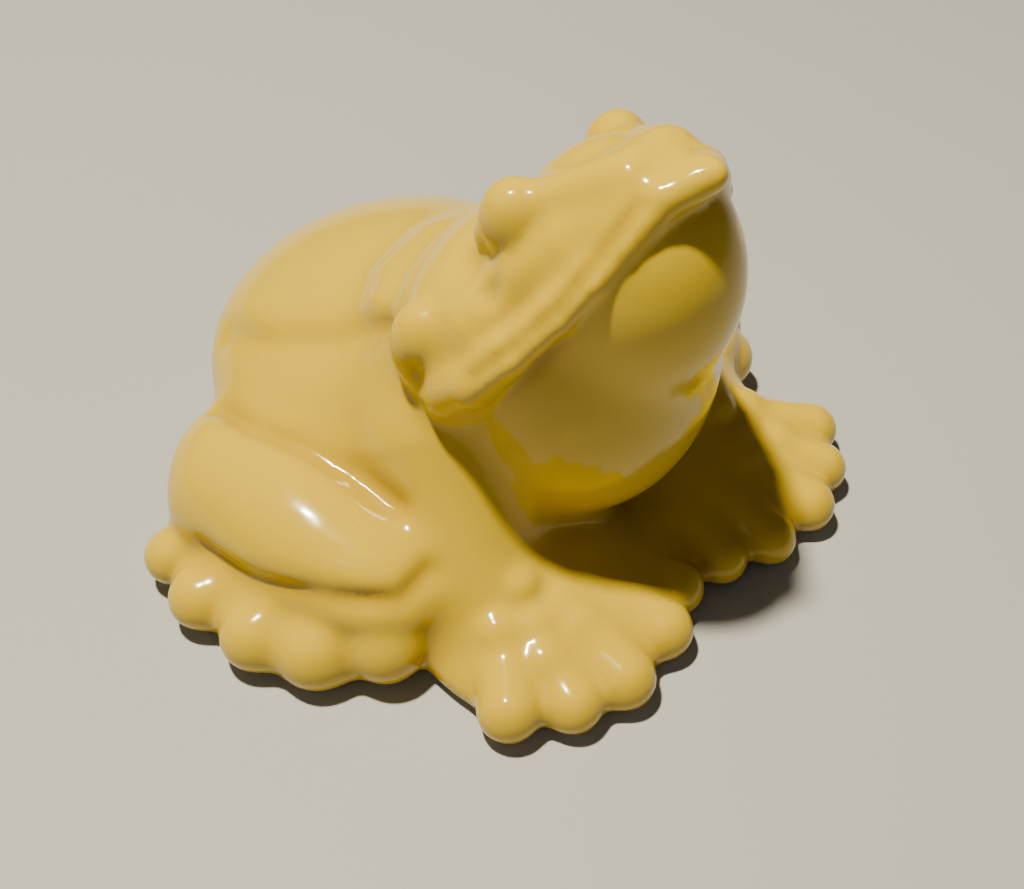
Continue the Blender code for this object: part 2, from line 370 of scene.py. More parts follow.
# What the modelling tool pressed in: a fold along each flank, the groove over the lip, the
# hollows below the eye and the eardrum, and the creases above and below the thigh.
FOLDS = (
    Ridge(
        (
            (-22.7, 33, 22.8, 0.2),
            (-23.6, 21, 28.1, 0.5),
            (-20.4, 11.3, 31.8, 0.5),
            (-17.3, 3, 37, 0.2),
        ),
        work=Work.CARVE,
        melt=8,
    ),
    Ridge(
        (
            (-7.4, -29.5, 66.1, 0.1),
            (-11.8, -27.9, 61, 0.4),
            (-16.4, -25.5, 54.7, 0.5),
            (-19.9, -21.6, 49.1, 0.5),
            (-22.4, -17.4, 43.6, 0.2),
        ),
        work=Work.CARVE,
        melt=3,
    ),
    Ball((-16.4, -14.7, 52.4), (0.9, 0.9, 1.3), side=Side.BOTH, work=Work.CARVE, melt=4),
    Ridge(
        (
            (-46.5, 11.5, 11.1, 0),
            (-46.4, 1, 12.6, 0.2),
            (-43.4, -9.7, 14.8, 0.25),
            (-37.1, -18, 15, 0.2),
            (-32, -18.1, 16.4, 0),
        ),
        work=Work.CARVE,
        melt=5.5,
    ),
    Ridge(
        (
            (-32.2, 23.4, 20.1, 0.1),
            (-32.9, 14.4, 22.8, 0.2),
            (-31.3, 6.1, 23.2, 0.3),
            (-30, -2.1, 22, 0.2),
            (-29.2, -9.7, 20.9, 0.1),
        ),
        work=Work.CARVE,
        melt=5,
    ),
    Ball((-23.3, -8.6, 38.9), (0.4, 0.4, 1), side=Side.BOTH, work=Work.CARVE, melt=4.5),
)
FROG = TRUNK + LIMBS + HIND_FEET + FRONT_FEET + COLLAR + SKULL + SENSES + (THROAT,) + KNUCKLES + FOLDS


@dataclass(frozen=True)
class Seat:
    """The oval seat of the slab, in the form's millimetres.

    Attributes:
        centre: Its middle on the table, x and y.
        radii: The slab's half width and half depth.
        top: Height of the ledge that the slab meets.
    """

    centre: tuple[float, float]
    radii: tuple[float, float]
    top: float

    def drum(self, points: np.ndarray, wider: float) -> np.ndarray:
        """Distance to an upright oval: the length of the flat offset divided by the radii, less
        one, times the smaller radius.

        Args:
            points: An array whose last axis is x, y, z.
            wider: Millimetres by which the oval is wider than the slab.

        Returns:
            Signed distances in millimetres.
        """
        radii = np.array(self.radii) + wider
        flat = (points[..., :2] - np.array(self.centre)) / radii
        return (np.sqrt((flat**2).sum(-1)) - 1.0) * radii.min()


@dataclass(frozen=True)
class ClayForm:
    """The whole form as a signed distance, drawn in millimetres and fitted to the frame's box.

    Attributes:
        lumps: What is added and carved, in order.
        low: Lowest corner of the box that the lumps are drawn in.
        high: Its highest corner.
        wall: Thickness of the casting.
        foot_round: Reach of the rounding where the form is cut flat.
        hollow_round: Reach of the rounding where the hollow meets its floor.
        cut_round: Reach of the rounding where a hollow breaks through the skin.
        ledge: How far the slab's ledge reaches in under it.
        floor: Thickness of that ledge.
        gap: Play between the slab and its seat.
    """

    lumps: tuple[Ball | Ridge | Cluster, ...] = FROG
    low: Point = (-54.6, -48.1, 1.5)
    high: Point = (54.6, 48.1, 70.0)
    wall: float = 3.5
    foot_round: float = 1.2
    hollow_round: float = 2.0
    cut_round: float = 0.6
    ledge: float = 4.0
    floor: float = 3.0
    gap: float = 0.3

    def body(self, points: np.ndarray) -> np.ndarray:
        """Every lump melted or carved in order, before the form is cut or hollowed.

        Args:
            points: An array whose last axis is x, y, z, in the form's millimetres.

        Returns:
            Signed distances in millimetres.
        """
        return melted(self.lumps, points.astype(np.float32))

    def hollowed(self, points: np.ndarray, seat: Seat) -> np.ndarray:
        """The body cut flat, drained to its wall and opened underneath for the slab.

        The hollow is where the body is deeper than the wall and above the floor. The seat and
        the opening are upright oval drums.

        Args:
            points: An array whose last axis is x, y, z, in the form's millimetres.
            seat: Where the slab sits.

        Returns:
            Signed distances in millimetres.
        """
        body = self.body(points)
        height = points[..., 2]
        solid = smooth_max(body, self.low[2] - height, self.foot_round)
        floor_top = seat.top + self.floor
        hollow = smooth_max(body + self.wall, floor_top - height, self.hollow_round)
        opening = np.maximum(seat.drum(points, -self.ledge), height - floor_top - self.floor)
        socket = np.maximum(seat.drum(points, self.gap), height - seat.top)
        for emptied in (hollow, opening, socket):
            solid = smooth_max(solid, -emptied, self.cut_round)
        return solid


def sampled(distance: Distance, low: np.ndarray, high: np.ndarray, step: float) -> np.ndarray:
    """A distance at every point of a grid, a few layers at a time to spare memory.

    Args:
        distance: Function from points to signed distances.
        low: Lowest corner of the grid.
        high: Highest corner of the grid.
        step: Grid spacing.

    Returns:
        The distances, one axis for each of x, y and z.
    """
    counts = np.ceil((high - low) / step).astype(int) + 1
    axes = [low[i] + step * np.arange(counts[i]) for i in range(3)]
    level = np.empty(tuple(counts), np.float32)
    layers = max(1, GRID_BATCH // int(counts[1] * counts[2]))
    for start in range(0, counts[0], layers):
        here = axes[0][start : start + layers]
        part = np.stack(np.meshgrid(here, axes[1], axes[2], indexing="ij"), -1)
        level[start : start + layers] = distance(part.astype(np.float32))
    return level


def cell_points(level: np.ndarray) -> tuple[np.ndarray, np.ndarray]:
    """One point for each grid cell that the surface crosses: the mean of its edges' crossings.

    A crossing's share of its edge is the distance at the near end over the difference between
    the two ends.

    Args:
        level: Distances on the grid.

    Returns:
        The points in grid steps, and for every cell the number of its point, or -1.
    """
    corner_steps = np.array([(a, b, c) for a in (0, 1) for b in (0, 1) for c in (0, 1)])
    ends = np.array(level.shape) - 1
    corners = [level[a : ends[0] + a, b : ends[1] + b, c : ends[2] + c] for a, b, c in corner_steps]
    inside = sum((corner < 0).astype(np.int8) for corner in corners)
    crossed = (inside > 0) & (inside < len(corners))
    cells = np.argwhere(crossed)
    number = np.full(crossed.shape, -1, np.int64)
    number[crossed] = np.arange(len(cells))
    values = np.stack([corner[crossed] for corner in corners], -1)

    total = np.zeros((len(cells), 3))
    hits = np.zeros(len(cells))
    for first, second in combinations(range(len(corners)), 2):
        edge = corner_steps[second] - corner_steps[first]
        if np.abs(edge).sum() != 1:
            continue
        near, far = values[:, first], values[:, second]
        cut = (near < 0) != (far < 0)
        share = np.where(cut, near / np.where(cut, near - far, 1.0), 0.0)
        total += np.where(cut[:, None], corner_steps[first] + share[:, None] * edge, 0.0)
        hits += cut
    return cells + total / hits[:, None], number


def cell_quads(level: np.ndarray, number: np.ndarray) -> np.ndarray:
    """One quad for each grid edge that the surface crosses, joining the four cells round it.

    Args:
        level: Distances on the grid.
        number: The number of each cell's point.

    Returns:
        Quads as rows of point numbers, facing outwards.
    """
    solid = level < 0
    quads = []
    for axis in range(3):
        first, second = [i for i in range(3) if i != axis]
        near = np.take(solid, range(level.shape[axis] - 1), axis)
        far = np.take(solid, range(1, level.shape[axis]), axis)
        edges = np.argwhere(near != far)
        quad = []
        for back_first, back_second in ((1, 1), (0, 1), (0, 0), (1, 0)):
            cell = edges.copy()
            cell[:, first] -= back_first
            cell[:, second] -= back_second
            quad.append(number[cell[:, 0], cell[:, 1], cell[:, 2]])
        quad = np.stack(quad, 1)
        leaves = near[edges[:, 0], edges[:, 1], edges[:, 2]]
        outward = leaves if axis != 1 else ~leaves
        quad[~outward] = quad[~outward][:, ::-1]
        quads.append(quad)
    return np.concatenate(quads)


def level_surface(distance: Distance, low: np.ndarray, high: np.ndarray, step: float) -> Skin:
    """Meshes the surface where a distance is zero, by surface nets.

    Args:
        distance: Function from points to signed distances.
        low: Lowest corner of the grid.
        high: Highest corner of the grid.
        step: Grid spacing.

    Returns:
        Vertices and quads as arrays.
    """
    level = sampled(distance, low, high, step)
    points, number = cell_points(level)
    return low + step * points, cell_quads(level, number)


def slope(distance: Distance, points: np.ndarray, reach: float = 0.2) -> np.ndarray:
    """The gradient of a distance: its rise over twice the reach along each axis.

    Args:
        distance: Function from points to signed distances.
        points: Where it is taken, one row each.
        reach: Half the span it is taken over.

    Returns:
        One row of three for each point.
    """
    result = np.empty_like(points)
    for axis in range(3):
        step = np.zeros(3)
        step[axis] = reach
        result[:, axis] = (distance(points + step) - distance(points - step)) / (2 * reach)
    return result


def settle(distance: Distance, points: np.ndarray, rounds: int = 2, longest: float = 0.4) -> np.ndarray:
    """Moves points onto the zero surface: each round takes away the gradient times the distance
    over the gradient's square.

    Args:
        distance: Function from points to signed distances.
        points: One row each.
        rounds: How many times they are moved.
        longest: The furthest they move along an axis in one round.

    Returns:
        The moved points.
    """
    for _ in range(rounds):
        lean = slope(distance, points)
        steep = np.maximum((lean**2).sum(1, keepdims=True), LEAST_SLOPE)
        reach = distance(points)[:, None] / steep
        points = points - np.clip(lean * reach, -longest, longest)
    return points


def make_piece(name: str, vertices: np.ndarray, faces: list, smooth: bool = True) -> bpy.types.Object:
    """Puts arrays into a mesh object at the origin.

    Args:
        name: The piece's name.
        vertices: Positions in metres.
        faces: Vertex numbers, one row a face.
        smooth: Whether it is shaded smooth.

    Returns:
        The new object.
    """
    mesh = bpy.data.meshes.new(name)
    mesh.from_pydata(vertices.tolist(), [], faces)
    mesh.update()
    if smooth:
        mesh.shade_smooth()
    piece = bpy.data.objects.new(name, mesh)
    bpy.context.scene.collection.objects.link(piece)
    LOG.info("%s: %d vertices, %d faces", name, len(mesh.vertices), len(mesh.polygons))
    return piece


def paint(piece: bpy.types.Object, name: str, values: np.ndarray) -> None:
    """Stores one number for each vertex as an attribute."""
    attribute = piece.data.attributes.new(name, "FLOAT", "POINT")
    attribute.data.foreach_set("value", np.ascontiguousarray(values, np.float32))


class Signal:
    """A shader socket that takes part in arithmetic: each operator adds a Math node."""

    def __init__(self, tree: bpy.types.NodeTree, socket: bpy.types.NodeSocket) -> None:
        """Wraps an output socket of a node tree."""
        self.tree = tree
        self.socket = socket

    def _math(self, operation: str, *terms: "Signal | float") -> "Signal":
        """One Math node over the terms, in order."""
        return node(self.tree, "ShaderNodeMath", {"operation": operation}, dict(enumerate(terms)))

    def __add__(self, other: "Signal | float") -> "Signal":
        """Sum."""
        return self._math("ADD", self, other)

    __radd__ = __add__

    def __rsub__(self, other: "Signal | float") -> "Signal":
        """What is left of the other when this is taken away."""
        return self._math("SUBTRACT", other, self)

    def __mul__(self, other: "Signal | float") -> "Signal":
        """Product."""
        return self._math("MULTIPLY", self, other)

    __rmul__ = __mul__

    def clamp(self, low: float, high: float) -> "Signal":
        """Eases from 0 at low to 1 at high, and is held there beyond them."""
        settings = {"clamp": True, "interpolation_type": "SMOOTHSTEP"}
        return node(self.tree, "ShaderNodeMapRange", settings, {0: self, 1: low, 2: high})


def node(
    tree: bpy.types.NodeTree, kind: str, settings: dict, sockets: dict, output: str | int = 0
) -> Signal:
    """Adds one shader node.

    Args:
        tree: The material's node tree.
        kind: The node's type.
        settings: Its properties, which are set first.
        sockets: Its inputs by name or number, each a value or a Signal.
        output: Which output to hand back.

    Returns:
        The output as a Signal.
    """
    made = tree.nodes.new(kind)
    for key, value in settings.items():
        setattr(made, key, value)
    for key, value in sockets.items():
        if isinstance(value, Signal):
            tree.links.new(value.socket, made.inputs[key])
        else:
            made.inputs[key].default_value = value
    return Signal(tree, made.outputs[output])


@dataclass(frozen=True)
class Grain:
    """A noise pattern over a piece.

    Attributes:
        waves: Waves a metre.
        detail: Layers of finer waves.
        roughness: Strength of each finer layer against the one before.
        span: Noise values that are eased to 0 and 1, or None to leave the noise as it is.
    """

    waves: float
    detail: float = 2.0
    roughness: float = 0.5
    span: tuple[float, float] | None = None


class Finish:
    """A procedural material built round one Principled shader."""

    def __init__(self, name: str) -> None:
        """Starts the material with its shader."""
        self.material = bpy.data.materials.new(name)
        self.material.use_nodes = True
        self.tree = self.material.node_tree
        self.shader = self.tree.nodes["Principled BSDF"]

    def place(self) -> Signal:
        """Object coordinates, in metres."""
        return node(self.tree, "ShaderNodeTexCoord", {}, {}, "Object")

    def noise(self, grain: Grain) -> Signal:
        """The grain's noise over the object, eased over its span where it has one."""
        sockets = {"Vector": self.place(), "Scale": grain.waves}
        sockets |= {"Detail": grain.detail, "Roughness": grain.roughness}
        found = node(self.tree, "ShaderNodeTexNoise", {}, sockets, "Fac")
        return found if grain.span is None else found.clamp(*grain.span)

    def attribute(self, name: str) -> Signal:
        """One of the piece's own painted numbers."""
        return node(self.tree, "ShaderNodeAttribute", {"attribute_name": name}, {}, "Fac")

    def mix(self, share: Signal, first: Signal | Colour, second: Signal | Colour) -> Signal:
        """A colour between two colours, by the share of the second."""
        settings = {"data_type": "RGBA"}
        return node(self.tree, "ShaderNodeMix", settings, {0: share, 6: first, 7: second}, 2)

    def bump(self, height: Signal, strength: float, distance: float) -> Signal:
        """A normal bent by a height.

        Args:
            height: The height, from 0 to 1.
            strength: How much of the bend is used.
            distance: Metres that a height of 1 stands for.

        Returns:
            The bent normal.
        """
        sockets = {"Strength": strength, "Distance": distance, "Height": height}
        return node(self.tree, "ShaderNodeBump", {}, sockets, "Normal")

    def set(self, **values: Signal | float | tuple) -> None:
        """Sets shader sockets, named in lower case with underscores, to values or Signals."""
        names = {socket.name.lower().replace(" ", "_"): socket for socket in self.shader.inputs}
        for key, value in values.items():
            if isinstance(value, Signal):
                self.tree.links.new(value.socket, names[key])
            else:
                names[key].default_value = value


@dataclass(frozen=True)
class GlazeFinish:
    """Thick glossy glaze over clay, bare and dull where the piece stood in the kiln.

    Attributes:
        main: Colour of the glaze at its usual depth.
        pale: Colour where it runs thin over ridges.
        deep: Colour where it pools in creases.
        clay: Colour of the bare clay.
        clay_dark: Colour of the clay's darker grains.
        cloud: Slow wander of the glaze's depth.
        fleck: Pin-sized dark specks.
        grain: Grains of the bare clay.
        ripple: Waves in the glaze's surface.
        cloud_share: How much of the pale colour the cloud brings.
        thin_share: How much of it the ridges bring.
        pool_share: How much of the deep colour the creases bring.
        fleck_share: How much of it the specks bring.
        grain_share: How much of the dark clay the grains bring.
        gloss: Roughness of the glaze.
        gloss_wander: What the cloud adds to that roughness.
        dull: Roughness of the bare clay.
        coat: Weight of the clear top of the glaze.
    """

    main: Colour = (0.60, 0.42, 0.012, 1.0)
    pale: Colour = (0.70, 0.51, 0.022, 1.0)
    deep: Colour = (0.42, 0.26, 0.004, 1.0)
    clay: Colour = (0.70, 0.63, 0.50, 1.0)
    clay_dark: Colour = (0.50, 0.43, 0.32, 1.0)
    cloud: Grain = Grain(38.0, 3.0, span=(0.35, 0.68))
    fleck: Grain = Grain(900.0, 2.0, 0.6, (0.66, 0.74))
    grain: Grain = Grain(1400.0, 4.0, 0.7)
    ripple: Grain = Grain(150.0, 2.0, 0.4)
    cloud_share: float = 0.16
    thin_share: float = 0.65
    pool_share: float = 0.8
    fleck_share: float = 0.12
    grain_share: float = 0.35
    gloss: float = 0.13
    gloss_wander: float = 0.05
    dull: float = 0.85
    coat: float = 0.15

    def build(self) -> bpy.types.Material:
        """Makes the material from the attributes pool, ridge and bare.

        Returns:
            The material.
        """
        finish = Finish("glaze")
        pooled = finish.attribute("pool").clamp(0.0, 1.0)
        thin = finish.attribute("ridge").clamp(0.0, 1.0)
        cloud = finish.noise(self.cloud)
        glaze = finish.mix(cloud * self.cloud_share, self.main, self.pale)
        glaze = finish.mix(thin * self.thin_share, glaze, self.pale)
        glaze = finish.mix(pooled * self.pool_share, glaze, self.deep)
        glaze = finish.mix(finish.noise(self.fleck) * self.fleck_share, glaze, self.deep)
        bare = finish.attribute("bare")
        glazed = 1.0 - bare
        grain = finish.noise(self.grain)
        clay = finish.mix(grain * self.grain_share, self.clay, self.clay_dark)
        height = finish.noise(self.ripple) * glazed + grain * bare * 0.5
        finish.set(
            base_color=finish.mix(bare, glaze, clay),
            roughness=(self.gloss + cloud * self.gloss_wander) * glazed + self.dull * bare,
            coat_weight=glazed * self.coat,
            coat_roughness=0.03,
            ior=1.45,
            specular_ior_level=0.36,
            subsurface_weight=0.12,
            subsurface_radius=(0.004, 0.0028, 0.0008),
            subsurface_scale=1.0,
            normal=finish.bump(height, strength=0.22, distance=0.4 * MM),
        )
        return finish.material


@dataclass(frozen=True)
class ClayFinish:
    """Bare fired clay, smoothed with a sponge and dusty from handling.

    Attributes:
        light: Colour of the clean clay.
        dark: Colour of its darker grains and handled patches.
        patch: Where it was handled.
        grain: Its grains.
        patch_share: How much of the dark colour the patches bring.
        grain_share: How much of it the grains bring.
    """

    light: Colour = (0.72, 0.65, 0.53, 1.0)
    dark: Colour = (0.47, 0.40, 0.30, 1.0)
    patch: Grain = Grain(70.0, 3.0, span=(0.35, 0.7))
    grain: Grain = Grain(1600.0, 4.0, 0.7)
    patch_share: float = 0.45
    grain_share: float = 0.3

    def build(self) -> bpy.types.Material:
        """Makes the material.

        Returns:
            The material.
        """
        finish = Finish("bare_clay")
        grain = finish.noise(self.grain)
        colour = finish.mix(finish.noise(self.patch) * self.patch_share, self.light, self.dark)
        finish.set(
            base_color=finish.mix(grain * self.grain_share, colour, self.dark),
            roughness=0.78 + grain * 0.15,
            normal=finish.bump(grain, strength=0.5, distance=0.3 * MM),
        )
        return finish.material


@dataclass(frozen=True)
class RubberFinish:
    """Soft milky rubber with a fine satin skin.

    Attributes:
        tint: Colour of the clean rubber.
        shade: Colour of its hazy patches.
        haze: The patches.
        dust: The fine texture of its skin.
        haze_share: How much of the shade the patches bring.
    """

    tint: Colour = (0.60, 0.58, 0.52, 1.0)
    shade: Colour = (0.44, 0.42, 0.36, 1.0)
    haze: Grain = Grain(260.0, 3.0, span=(0.3, 0.7))
    dust: Grain = Grain(2600.0, 2.0, 0.7)
    haze_share: float = 0.5

    def build(self) -> bpy.types.Material:
        """Makes the material.

        Returns:
            The material.
        """
        finish = Finish("soft_rubber")
        haze = finish.noise(self.haze)
        finish.set(
            base_color=finish.mix(haze * self.haze_share, self.tint, self.shade),
            roughness=0.48 + haze * 0.16,
            subsurface_weight=0.25,
            subsurface_radius=(0.003, 0.0026, 0.002),
            normal=finish.bump(finish.noise(self.dust), strength=0.25, distance=0.1 * MM),
        )
        return finish.material


@dataclass(frozen=True)
class FeltFinish:
    """Pressed wool felt: matted fibres and a soft sheen.

    Attributes:
        light: Colour of the upper fibres.
        dark: Colour between them.
        fibre: The fibres.
        fibre_span: Heights of fibre that take the dark and the light colour.
        mat: Patches that were pressed flatter.
        mat_share: How much of the dark colour the patches bring.
    """

    light: Colour = (0.23, 0.22, 0.20, 1.0)
    dark: Colour = (0.10, 0.095, 0.09, 1.0)
    fibre: Grain = Grain(3200.0, 5.0, 0.75)
    fibre_span: tuple[float, float] = (0.35, 0.65)
    mat: Grain = Grain(700.0, 3.0, span=(0.3, 0.7))
    mat_share: float = 0.3

    def build(self) -> bpy.types.Material:
        """Makes the material.

        Returns:
            The material.
        """
        finish = Finish("grey_felt")
        fibre = finish.noise(self.fibre)
        colour = finish.mix(fibre.clamp(*self.fibre_span), self.dark, self.light)
        finish.set(
            base_color=finish.mix(finish.noise(self.mat) * self.mat_share, colour, self.dark),
            roughness=0.96,
            sheen_weight=0.5,
            sheen_roughness=0.6,
            normal=finish.bump(fibre, strength=0.8, distance=0.4 * MM),
        )
        return finish.material


@dataclass
class GlazedSkin:
    """The casting's skin: the outside, the foot it stood on, and the drained hollow.

    Attributes:
        form: The clay form.
        step: Grid spacing of the mesh, in millimetres.
        margin: Grid steps kept clear round the form.
        probe: How far off the skin creases and ridges are felt for, in millimetres.
        wiped: Height above the foot that the glaze was wiped off to, in millimetres.
        lining: Depth under the skin past which only the bare hollow is met, in millimetres.
        fade: Width of the glaze's edge, in millimetres.
        pool_gain: How quickly a crease fills with glaze.
        ridge_gain: How quickly a ridge thins it.
        ridge_start: How much of a ridge it takes before the glaze thins.
    """

    form: ClayForm
    step: float = 0.8
    margin: float = 2.0
    probe: float = 2.2
    wiped: float = 0.7
    lining: float = 1.5
    fade: float = 0.5
    pool_gain: float = 1.3
    ridge_gain: float = 1.6
    ridge_start: float = 0.15

    def fit(self) -> tuple[np.ndarray, np.ndarray]:
        """The casting's lowest corner, and metres for each of the form's millimetres."""
        low, high = box_corners(CASTING_NODE)
        return low, (high - low) / (np.array(self.form.high) - np.array(self.form.low))

    def seat(self) -> Seat:
        """The slab's seat, read from the frame and turned into the form's millimetres.

        Returns:
            The seat.
        """
        low, scale = self.fit()
        slab_low, slab_high = box_corners(SLAB_NODE)
        drawn_low = (slab_low - low) / scale + np.array(self.form.low)
        drawn_high = (slab_high - low) / scale + np.array(self.form.low)
        middle = (drawn_low + drawn_high) / 2
        half = (drawn_high - drawn_low) / 2
        return Seat(tuple(middle[:2]), tuple(half[:2]), drawn_high[2] + self.form.gap)

    def marks(self, points: np.ndarray) -> dict[str, np.ndarray]:
        """What the glaze does at each point of the skin, from 0 to 1.

        Pool is how much nearer the body is, a probe's length outside, than it is over a flat,
        as a share of the probe. Ridge is the same a probe's length inside. Bare is the wiped
        foot and the hollow.

        Args:
            points: Points on the skin, in the form's millimetres.

        Returns:
            Values of each attribute, by its name.
        """
        body = self.form.body
        lean = slope(body, points)
        normal = lean / np.maximum(np.linalg.norm(lean, axis=1, keepdims=True), 1e-6)
        pool = (self.probe - body(points + normal * self.probe)) / self.probe
        ridge = (self.probe + body(points - normal * self.probe)) / self.probe
        foot = np.clip((self.form.low[2] + self.wiped - points[:, 2]) / self.fade, 0.0, 1.0)
        inside = np.clip((-self.lining - body(points)) / self.fade, 0.0, 1.0)
        return {
            "pool": np.clip(pool * self.pool_gain, 0.0, 1.0),
            "ridge": np.clip(ridge * self.ridge_gain - self.ridge_start, 0.0, 1.0),
            "bare": np.maximum(foot, inside),
        }

    def build(self) -> bpy.types.Object:
        """Meshes the skin, paints where glaze pools or thins, and dresses it.

        Returns:
            The skin.
        """
        seat = self.seat()

        def skin(points: np.ndarray) -> np.ndarray:
            """The finished casting's distance."""
            return self.form.hollowed(points, seat)

        margin = self.margin * self.step
        low = np.array(self.form.low) - margin
        high = np.array(self.form.high) + margin
        points, quads = level_surface(skin, low, high, self.step)
        points = settle(skin, points)
        base, scale = self.fit()
        placed = base + (points - np.array(self.form.low)) * scale
        piece = make_piece("glazed_skin", placed, quads.tolist())
        for name, values in self.marks(points).items():
            paint(piece, name, values)
        piece.data.materials.append(GlazeFinish().build())
        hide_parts(CASTING_NODE)
        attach(piece, FIGURE_BODY)
        return piece


def box_corners(name: str) -> tuple[np.ndarray, np.ndarray]:
    """The lowest and highest corner of a CAD node, in metres."""
    low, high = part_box(name)
    return np.array(low), np.array(high)


def loft(loops: np.ndarray, ring: bool) -> tuple[np.ndarray, list]:
    """Joins loops of points into a skin, each loop to the next.

    Args:
        loops: Points of each loop, counter-clockwise seen from above; an array of shape
            (loops, points, 3) that runs from the top over the outside to the bottom.
        ring: True when the last loop joins the first. Otherwise each end is closed by a fan.

    Returns:
        Vertices as an array and faces as lists.
    """
    count, around = loops.shape[:2]
    rows = np.arange(count if ring else count - 1)[:, None]
    columns = np.arange(around)
    following = (columns + 1) % around
    below = (rows + 1) % count
    quad = (rows * around + columns, below * around + columns)
    quad += (below * around + following, rows * around + following)
    faces = np.stack(quad, -1).reshape(-1, 4).tolist()
    vertices = loops.reshape(-1, 3)
    if not ring:
        top, last = count * around, (count - 1) * around
        pairs = list(zip(columns.tolist(), following.tolist()))
        vertices = np.concatenate((vertices, loops[[0, -1]].mean(1)))
        faces += [(top, a, b) for a, b in pairs]
        faces += [(top + 1, last + b, last + a) for a, b in pairs]
    return vertices, faces


def quarter(points: int) -> np.ndarray:
    """Angles from 0 to 90 degrees, in radians."""
    return np.radians(np.linspace(0, 90, points))


def level_run(radius: float, height: float, shares: tuple[float, ...]) -> np.ndarray:
    """Profile points on a flat: each share of the radius, at one height."""
    return np.array([(radius * share, height) for share in shares])


def upper_round(rim: float, top: float, reach: float, points: int) -> np.ndarray:
    """A quarter round from a flat top out to the rim: the rim less the reach times one minus the
    sine, and the top less the reach times one minus the cosine.

    Args:
        rim: Radius of the rim.
        top: Height of the flat.
        reach: Radius of the rounding.
        points: How many points it has.

    Returns:
        Profile points, a radius and a height each.
    """
    turn = quarter(points)
    return np.stack((rim - reach * (1 - np.sin(turn)), top - reach * (1 - np.cos(turn))), -1)


def lower_round(rim: float, bottom: float, reach: float, points: int) -> np.ndarray:
    """A quarter round from the rim in to a flat underside: the rim less the reach times one minus
    the cosine, and the bottom plus the reach times one minus the sine. A negative reach on a neck
    sweeps outwards, so the height is given by its size.

    Args:
        rim: Radius where it starts.
        bottom: Height of the flat.
        reach: Radius of the rounding, negative for a fillet that sweeps out.
        points: How many points it has.

    Returns:
        Profile points, a radius and a height each.
    """
    turn = quarter(points)
    height = bottom + abs(reach) * (1 - np.sin(turn))
    return np.stack((rim - reach * (1 - np.cos(turn)), height), -1)


@dataclass
class SmallPart:
    """A part lofted round an upright axis in place of its CAD node.

    Attributes:
        node: The CAD node it replaces; the piece is named after it.
        body: The body it rides on.
        slot: Name of a material slot; not used.
        around: Points round the axis.
    """

    node: str
    body: str
    slot: str
    around: int = 128

    def turn(self) -> np.ndarray:
        """Angles round the axis, in radians."""
        return np.linspace(0, math.tau, self.around, endpoint=False)

    def circle(self) -> np.ndarray:
        """Points round the unit circle: the cosine and sine of each angle."""
        return np.stack((np.cos(self.turn()), np.sin(self.turn())), -1)

    def place(self) -> tuple[np.ndarray, np.ndarray, float, float]:
        """The node's middle on the table, its half widths, its underside and its top."""
        low, high = box_corners(self.node)
        return ((low + high) / 2)[:2], ((high - low) / 2)[:2], low[2], high[2]

    def raised(self, flat: np.ndarray, height: np.ndarray) -> np.ndarray:
        """Loops of flat points, each loop at its own height."""
        lifted = np.broadcast_to(height[:, None, None], (len(height), self.around, 1))
        return np.concatenate((flat, lifted), -1)

    def turned(self, profile: np.ndarray, centre: np.ndarray) -> np.ndarray:
        """Loops of a turned shape: the unit circle times each radius, at its height.

        Args:
            profile: A radius and a height a row, in metres.
            centre: The axis on the table.

        Returns:
            Points of each loop.
        """
        return self.raised(self.circle()[None] * profile[:, None, :1] + centre, profile[:, 1])

    def finished(self, loops: np.ndarray, material: bpy.types.Material, ring: bool) -> bpy.types.Object:
        """Makes the piece, gives it its material, hides its CAD node and puts it on its body.

        Args:
            loops: Points of each loop.
            material: Its finish.
            ring: Whether the last loop joins the first.

        Returns:
            The piece.
        """
        piece = make_piece(self.node + "_skin", *loft(loops, ring))
        piece.data.materials.append(material)
        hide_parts(self.node)
        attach(piece, self.body)
        return piece


@dataclass
class BaseSlab(SmallPart):
    """The oval clay slab with the bung's hole through it.

    Attributes:
        hole: Radius of the hole.
        edge: Rounding of its four edges, sponged before firing.
        bend: Points in each rounding.
        rings: Rings across each face, with two left out at each end for the roundings.
    """

    node: str = SLAB_NODE
    body: str = FIGURE_BODY
    slot: str = "clay"
    hole: float = 5.0 * MM
    edge: float = 0.5 * MM
    bend: int = 5
    rings: int = 26

    def build(self, material: bpy.types.Material) -> bpy.types.Object:
        """Lofts it from the hole over the top, down the rim, back underneath and up again.

        A loop is the hole's circle times one minus its share, plus the rim's oval times its
        share, moved out by its inset.

        Args:
            material: Its finish.

        Returns:
            The piece.
        """
        centre, half, bottom, top = self.place()
        rise = quarter(self.bend)
        near, far = self.edge * (1 - np.cos(rise)), self.edge * (1 - np.sin(rise))
        across = np.linspace(0, 1, self.rings)[2:-2]
        level, hole_side, rim_side = np.zeros_like(across), np.zeros_like(rise), np.ones_like(rise)
        share = np.concatenate((hole_side, across, rim_side, rim_side, 1 - across, hole_side))
        inset = np.concatenate((near, level, -far, -near, level, far))
        upper = (top - far, level + top, top - near)
        lower = (bottom + far, level + bottom, bottom + near)
        share, inset = share[:, None, None], inset[:, None, None]
        circle = self.circle()[None]
        flat = circle * self.hole * (1 - share) + circle * half * share + circle * inset + centre
        return self.finished(self.raised(flat, np.concatenate(upper + lower)), material, ring=True)


